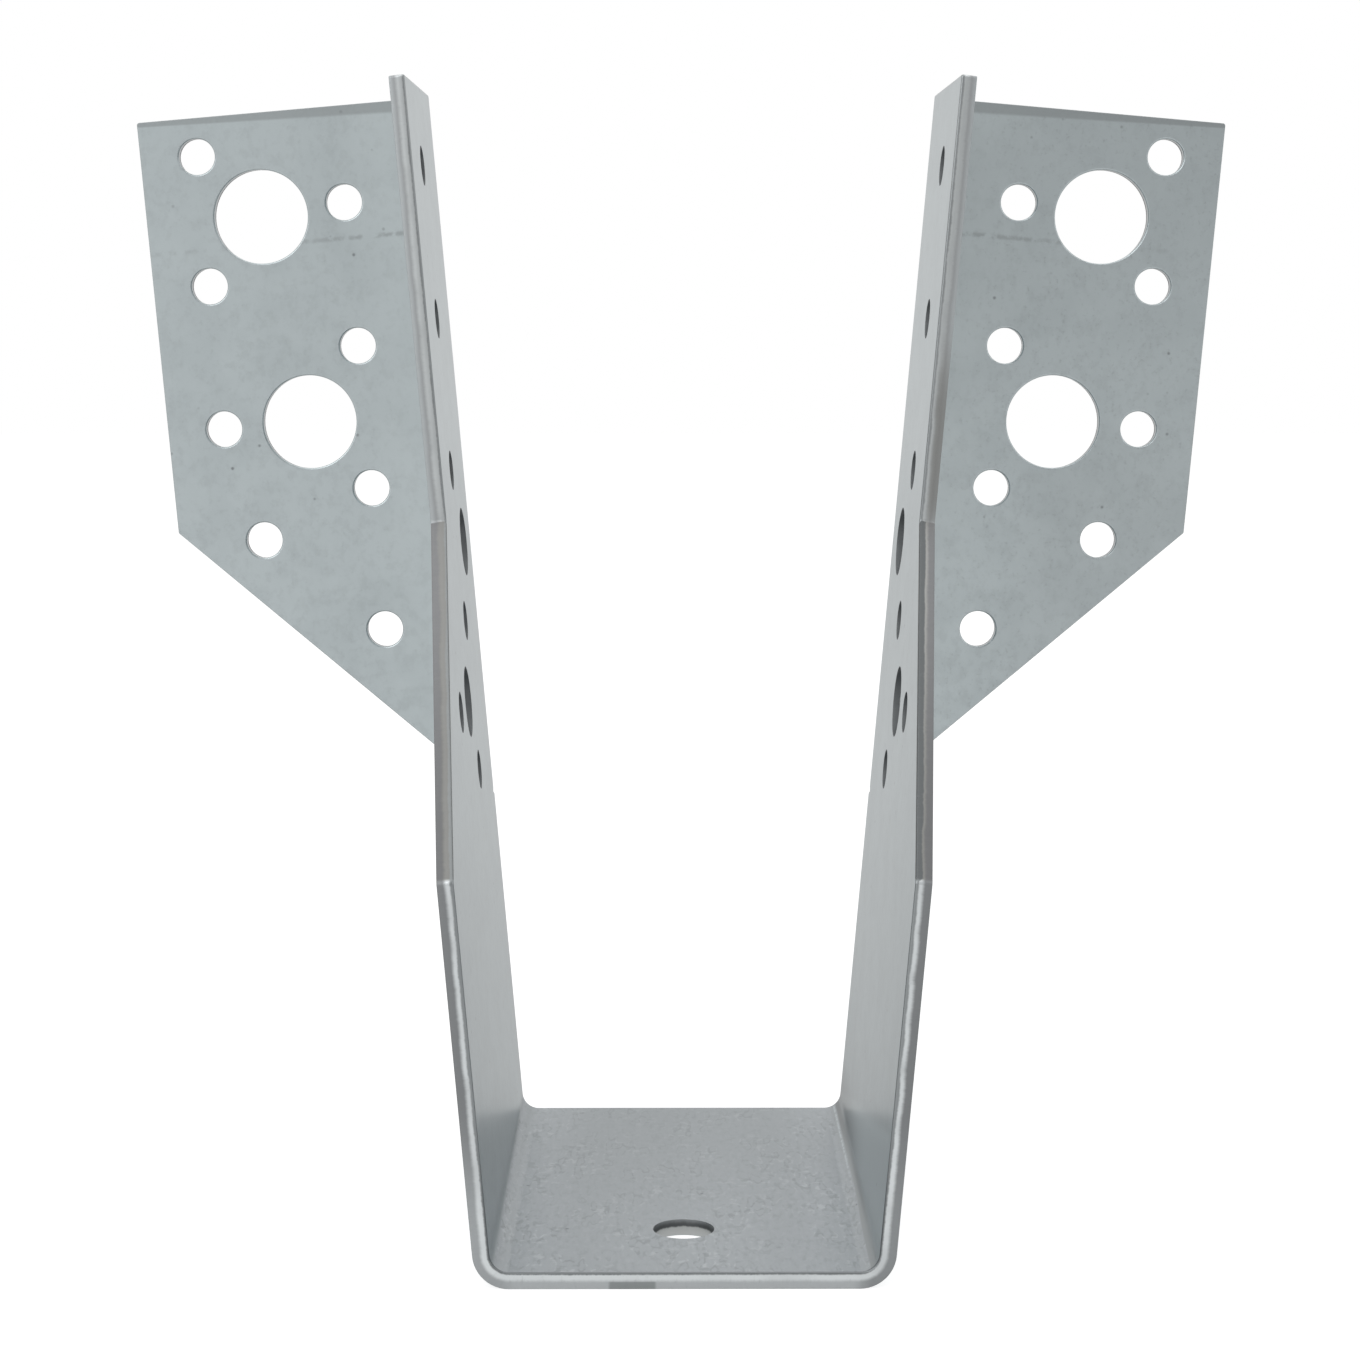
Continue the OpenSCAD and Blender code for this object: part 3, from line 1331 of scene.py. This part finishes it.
    def right_outline(self) -> Tuple[np.ndarray, np.ndarray]:
        """The right half of the blank's outline, from the seat's back to its front.

        Across the bends the outline has a point on each of the evenly spaced fold lines.
        Where the fold of the flange ends, a slit with a round tip parts it from the lower
        wall, and the fold's lower edge rises as 1 - cos of the turn to the flange's slope.

        Returns:
            The points, and the numbers of the fold lines that they end.
        """
        share = np.linspace(0.0, 1.0, self.bend_steps + 1)
        bend = self.bend_start + (self.bend_end - self.bend_start) * share
        fold = self.outer_radius + (self.flange_start - self.outer_radius) * share
        bend_marks = np.arange(1, self.bend_steps + 2)
        fold_marks = bend_marks + self.bend_steps + 1

        top = self.across_at(self.wall_height)
        front_top = self.across_at(self.wall_height - self.top_fall)
        low = self.across_at(self.narrow_from)
        high = self.across_at(self.narrow_to)
        tip_turn = np.linspace(0.0, math.pi, self.tip_steps + 1)
        tip = np.stack(
            [low - self.slit * np.cos(tip_turn), self.outer_radius + self.slit * np.sin(tip_turn)],
            axis=1,
        )
        rise = self.flange_base + self.outer_radius - self.narrow_from - self.slit
        fold_low = low + self.slit + rise * (1.0 - np.cos(share * math.pi / 2.0))
        foot = self.across_at(self.flange_base + self.flange_width)

        behind_wall = rounded_path(
            [
                (0.0, self.seat_back),
                (low - self.slit, self.seat_back),
                (low - self.slit, self.outer_radius),
            ],
            [self.corner],
        )
        round_flange = rounded_path(
            [
                (fold_low[-1], self.flange_start),
                (foot, self.flange_end),
                (top, self.flange_end),
                (top, self.flange_start),
            ],
            [self.corner, self.corner],
        )
        down_front = rounded_path(
            [
                (top, self.outer_radius),
                (front_top, self.wall_top_depth),
                (high, self.wall_top_depth),
                (low, self.seat_front),
                (0.0, self.seat_front),
            ],
            [self.corner, self.front_corner, self.front_corner],
        )
        stretches = [
            (np.stack([bend, np.full_like(bend, self.seat_back)], axis=1), bend_marks),
            (np.concatenate([behind_wall, tip[:-1]]), 0),
            (np.stack([fold_low, fold], axis=1), fold_marks),
            (round_flange, 0),
            (np.stack([np.full_like(fold, top), fold], axis=1)[::-1], fold_marks[::-1]),
            (down_front, 0),
            (np.stack([bend, np.full_like(bend, self.seat_front)], axis=1)[::-1], bend_marks[::-1]),
        ]
        points = np.concatenate([stretch for stretch, _ in stretches])
        marks = np.concatenate([np.broadcast_to(mark, len(stretch)) for stretch, mark in stretches])
        return points, marks

    def outline(self) -> CutLoop:
        """The whole outline: the right half, then its mirror image run back.

        Returns:
            The cut.
        """
        points, marks = self.right_outline()
        mirrored = points[::-1] * np.array([-1.0, 1.0])
        left_marks = np.where(marks[::-1] > 0, marks[::-1] + marks.max(), 0)
        return CutLoop.outline(
            np.concatenate([points, mirrored]),
            np.concatenate([marks, left_marks]),
            self.profile,
        )

    def holes(self) -> list[CutLoop]:
        """All punched holes of the blank.

        Returns:
            The cuts, the hole in the seat first.
        """
        on_flange = [
            (self.across_at(height * MM), self.depth_at(offset * MM), punch)
            for places, punch in ((self.flange_nails, self.nail), (self.flange_anchors, self.anchor))
            for offset, height in places
        ]
        on_wall = [
            (self.across_at(height * MM), depth * MM, punch)
            for places, punch in ((self.wall_nails, self.nail), (self.wall_bolts, self.bolt))
            for depth, height in places
        ]
        in_seat = self.seat_screw.hole(0.0, self.seat_screw_depth, self.seat_hole_profile)
        return [in_seat] + [
            punch.hole(side.value * across, depth, self.profile)
            for side in Side
            for across, depth, punch in on_flange + on_wall
        ]

    def rims(self, cuts: Sequence[CutLoop]) -> Tuple[np.ndarray, np.ndarray, np.ndarray]:
        """The vertices: a swept rim along each cut, row after row through the sheet.

        A rim vertex is the cut's point moved into the metal by the profile's first
        number and down through the sheet by its second. Its normal is the profile's,
        turned out of the cut and folded with the sheet.

        Args:
            cuts: the cuts.

        Returns:
            Each row's points in the plane of the blank, then all places in the blank, and
            the normals once folded.
        """
        points = np.concatenate([cut.points for cut in cuts])
        inset = np.concatenate([cut.inset for cut in cuts])
        inward = np.concatenate([cut.inward for cut in cuts])
        rows, facing = (
            np.concatenate(
                [np.repeat(cut.rim[part][:, None], len(cut.points), axis=1) for cut in cuts],
                axis=1,
            )
            for part in (0, 1)
        )
        facing = facing.reshape(-1, 2)

        flat = points[None] + rows[:, :, :1] * inset[None]
        blank = np.concatenate([flat, rows[:, :, 1:]], axis=2).reshape(-1, 3)
        across_way, depth_way, through_way = self.directions(blank)
        outward = -np.tile(inward, (len(rows), 1))
        normals = (
            facing[:, :1] * (outward[:, :1] * across_way + outward[:, 1:] * depth_way)
            + facing[:, 1:] * through_way
        )
        return flat, blank, unit(normals)

    def faces(
        self,
        flat: np.ndarray,
        cuts: Sequence[CutLoop],
    ) -> Tuple[list[list[int]], np.ndarray]:
        """The faces: triangles over both faces of the sheet, and quads round the rims.

        The triangles fill the first and the last row of all rims.

        Args:
            flat: each row's points in the plane of the blank.
            cuts: the cuts, the outline first.

        Returns:
            The vertex numbers of each face, and the faces' material slots.
        """
        starts = np.cumsum([0] + [len(cut.points) for cut in cuts])
        count = int(starts[-1])
        bands = len(flat) - 1
        here = np.arange(count)
        following = np.concatenate(
            [start + np.roll(np.arange(len(cut.points)), -1) for start, cut in zip(starts, cuts)]
        )
        edges = np.concatenate([np.stack([here, following], axis=1), cuts[0].ties])
        near_face = fill(flat[0], edges, starts)[:, ::-1]
        far_face = fill(flat[-1], edges, starts) + bands * count

        band = np.arange(bands)[:, None]
        level = band * count
        quads = np.stack(
            [level + here, level + following, level + following + count, level + here + count],
            axis=2,
        ).reshape(-1, 4)

        in_hole = band < bands - self.profile.roll_steps
        hole_slots = np.where(in_hole, Surface.PUNCHED.value, Surface.SKIN.value)
        rim_slots = np.where(here < starts[1], Surface.SHEARED.value, hole_slots)
        face_slots = np.full(len(near_face) + len(far_face), Surface.SKIN.value)
        numbers = near_face.tolist() + far_face.tolist() + quads.tolist()
        return numbers, np.concatenate([face_slots, rim_slots.ravel()])

    def build(self) -> bpy.types.Object:
        """Makes the mesh and dresses it.

        Returns:
            The object, in the row frame.
        """
        cuts = [self.outline(), *self.holes()]
        flat, blank, normals = self.rims(cuts)
        faces, slots = self.faces(flat, cuts)

        mesh = bpy.data.meshes.new(self.name)
        mesh.from_pydata(self.fold(blank).tolist(), [], faces)
        mesh.polygons.foreach_set("material_index", slots.astype(np.int32))
        attribute = mesh.attributes.new(BLANK_ATTRIBUTE, "FLOAT_VECTOR", "POINT")
        attribute.data.foreach_set("vector", blank.astype(np.float32).ravel())
        for finish in (self.skin, self.edge, self.hole_wall):
            mesh.materials.append(finish.material(self))
        mesh.shade_smooth()
        mesh.normals_split_custom_set_from_vertices(normals.tolist())
        mesh.update()

        sheet = bpy.data.objects.new(self.name, mesh)
        bpy.context.scene.collection.objects.link(sheet)
        return sheet


def fill(flat: np.ndarray, edges: np.ndarray, starts: np.ndarray) -> np.ndarray:
    """Fills the blank between its cuts with constrained Delaunay triangles.

    They are worked out in millimetres, and only those between the cuts are kept.

    Args:
        flat: the points of all cuts, in the plane of the blank.
        edges: the sides of the cuts, and the fold lines.
        starts: the number of the first point of each cut, the outline first.

    Returns:
        Three point numbers in each row, counter-clockwise.
    """
    whole_hull, closest = 0, 1e-5
    _, _, faces, sources, _, _ = delaunay_2d_cdt(
        (flat / MM).tolist(), edges.tolist(), [], whole_hull, closest
    )
    source = np.array([origin[0] for origin in sources])
    triangles = source[np.array(faces)]
    middle = flat[triangles].mean(axis=1)
    keep = inside(middle, flat[starts[0]:starts[1]])
    for first, last in zip(starts[1:-1], starts[2:]):
        keep &= ~inside(middle, flat[first:last])
    triangles = triangles[keep]
    one, two, three = flat[triangles[:, 0]], flat[triangles[:, 1]], flat[triangles[:, 2]]
    first, second = two - one, three - one
    area = first[:, 0] * second[:, 1] - first[:, 1] * second[:, 0]
    return np.where(area[:, None] < 0.0, triangles[:, ::-1], triangles)


def inside(points: np.ndarray, loop: np.ndarray) -> np.ndarray:
    """Which points lie inside a closed loop, by counting the sides to their right.

    Args:
        points: the points to test, one in each row.
        loop: the corners of the loop, in order.

    Returns:
        True for each point inside.
    """
    x, y = points[:, :1], points[:, 1:]
    x0, y0 = loop[:, 0][None], loop[:, 1][None]
    x1, y1 = np.roll(x0, -1, axis=1), np.roll(y0, -1, axis=1)
    spans = (y0 > y) != (y1 > y)
    rise = np.where(y1 == y0, 1.0, y1 - y0)
    crossing = x0 + (y - y0) / rise * (x1 - x0)
    return np.sum(spans & (x < crossing), axis=1) % 2 == 1


# The studio


@dataclass(frozen=True)
class SoftBox:
    """One large soft lamp."""

    name: str
    place: Tuple[float, float, float]
    aim: Tuple[float, float, float]
    size: float
    watts: float

    def light(self) -> None:
        """Hangs the lamp and turns its face to what it aims at."""
        lamp = bpy.data.lights.new(self.name, "AREA")
        lamp.shape = "SQUARE"
        lamp.size = self.size
        lamp.energy = self.watts
        holder = bpy.data.objects.new(self.name, lamp)
        holder.location = self.place
        towards = np.subtract(self.aim, self.place)
        level = math.hypot(towards[0], towards[1])
        holder.rotation_euler = (
            math.atan2(level, -towards[2]),
            0.0,
            math.atan2(towards[1], towards[0]) - math.pi / 2.0,
        )
        bpy.context.scene.collection.objects.link(holder)


@dataclass
class Studio:
    """The plain pale floor, the white surroundings, the soft lamps and the camera."""

    floor_half: float = 6.0
    floor_colour: Colour = (0.40, 0.40, 0.40, 1.0)
    floor_glow: float = 0.80
    floor_mirrored: float = 0.66
    # the glow that the metal mirrors, lowered just behind the hanger as a painted shadow
    floor_behind: Tuple[Fade, ...] = (
        Fade(-0.15, 0.0, -0.24),
        Fade(0.0, 0.6, 0.13),
        Fade(0.7, 2.0, 0.08),
    )
    ambient: float = 0.55
    dimming_front: Fade = Fade(-0.2, -0.8)
    dimming_right: Fade = Fade(-0.45, 0.45, 0.60)
    dimming_back: Fade = Fade(0.0, 0.5, 0.055)
    lamps: Tuple[SoftBox, ...] = (
        SoftBox("key_lamp", (-1.0, -1.2, 1.2), (0.0, 0.0, 0.06), 1.3, 9.0),
        SoftBox("fill_lamp", (1.3, -1.1, 0.9), (0.0, 0.0, 0.06), 1.2, 4.0),
        SoftBox("top_lamp", (0.0, 0.3, 1.8), (0.0, 0.0, 0.0), 2.0, 9.0),
    )
    camera_place: Tuple[float, float, float] = (-0.001773, -0.33417, 0.10410)
    camera_pitch: float = 0.0793
    camera_yaw: float = 0.0042
    focal_pixels: float = 2621.98
    axis_row: float = 599.26
    photo_pixels: float = 1360.0
    sensor: float = 36.0
    nearest: float = 0.01
    furthest: float = 50.0

    def floor(self) -> None:
        """Lays the floor: a square about the origin at the height of the underside."""
        half = self.floor_half
        corners = np.array([[-1, -1, 0], [1, -1, 0], [1, 1, 0], [-1, 1, 0]]) * half
        mesh = bpy.data.meshes.new("studio_floor")
        mesh.from_pydata(corners.tolist(), [], [(0, 1, 2, 3)])
        mesh.materials.append(self.floor_material())
        floor = bpy.data.objects.new("studio_floor", mesh)
        bpy.context.scene.collection.objects.link(floor)

    def rays(self, graph: Graph) -> Tuple[Signal, Signal]:
        """Tells the rays apart.

        Args:
            graph: the node tree being written.

        Returns:
            1 for rays from the camera, and 1 for rays from the metal or through glass.
        """
        path = graph.node("ShaderNodeLightPath")
        camera, glossy, through = (
            Signal(graph, path.outputs[name])
            for name in ("Is Camera Ray", "Is Glossy Ray", "Is Transmission Ray")
        )
        return camera, glossy.highest(through)

    def floor_material(self) -> bpy.types.Material:
        """A matt pale floor that glows only for what is seen, so that it reads as white.

        As the metal mirrors it, its glow is lower just behind the hanger than further back, as a
        painted shadow.

        Returns:
            The material.
        """
        material, graph = Graph.of_material("pale_floor")
        matt = graph.signal("ShaderNodeBsdfDiffuse", 0, None, {"Color": self.floor_colour})
        camera, mirrored = self.rays(graph)
        _, distance, _ = graph.split(graph.signal("ShaderNodeTexCoord", "Object"))
        level: Value = self.floor_mirrored
        for change in self.floor_behind:
            level = level + change.of(distance)
        glow = graph.signal(
            "ShaderNodeEmission",
            0,
            None,
            {"Color": WHITE, "Strength": camera * self.floor_glow + mirrored * level},
        )
        both = graph.signal("ShaderNodeAddShader", 0, None, {0: matt, 1: glow})
        graph.node("ShaderNodeOutputMaterial", None, {"Surface": both})
        return material

    def surroundings(self) -> None:
        """Makes the world white where it is seen and lower where it lights.

        As the metal mirrors it, it is dimmer at the front right and a little at the back.
        """
        world = bpy.data.worlds.new("white_surroundings")
        world.use_nodes = True
        graph = Graph(world.node_tree)
        camera, mirrored = self.rays(graph)
        sideways, backwards, _ = graph.split(graph.signal("ShaderNodeTexCoord", "Generated"))
        dimming = self.dimming_front.of(backwards) * self.dimming_right.of(sideways)
        dimming = dimming + self.dimming_back.of(backwards)
        strength = self.ambient + (camera + mirrored) * (1.0 - self.ambient) - mirrored * dimming
        sky = graph.signal("ShaderNodeBackground", 0, None, {"Color": WHITE, "Strength": strength})
        graph.node("ShaderNodeOutputWorld", None, {"Surface": sky})
        bpy.context.scene.world = world

    def camera(self) -> None:
        """Sets up the camera that took the photograph."""
        lens = bpy.data.cameras.new("camera")
        lens.sensor_fit = "HORIZONTAL"
        lens.sensor_width = self.sensor
        lens.lens = self.focal_pixels / self.photo_pixels * self.sensor
        lens.shift_y = (self.axis_row - self.photo_pixels / 2.0) / self.photo_pixels
        lens.clip_start = self.nearest
        lens.clip_end = self.furthest
        camera = bpy.data.objects.new("camera", lens)
        camera.location = self.camera_place
        camera.rotation_euler = (math.pi / 2.0 - self.camera_pitch, 0.0, -self.camera_yaw)
        bpy.context.scene.collection.objects.link(camera)
        bpy.context.scene.camera = camera

    def build(self) -> None:
        """Puts the studio together."""
        self.floor()
        self.surroundings()
        for lamp in self.lamps:
            lamp.light()
        self.camera()
        bpy.context.scene.view_settings.view_transform = "Standard"


def main() -> None:
    """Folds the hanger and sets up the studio."""
    logging.basicConfig(level=logging.INFO, format="%(name)s: %(message)s")
    hanger = FoldedSheet()
    sheet = hanger.build()
    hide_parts("joist_hanger")
    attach(sheet, "root")
    log.info("%s: %d faces", sheet.name, len(sheet.data.polygons))
    studio = Studio()
    studio.build()
    log.info("studio with %d lamps", len(studio.lamps))
    log.info("sizes written")


if __name__ == "__main__":
    main()
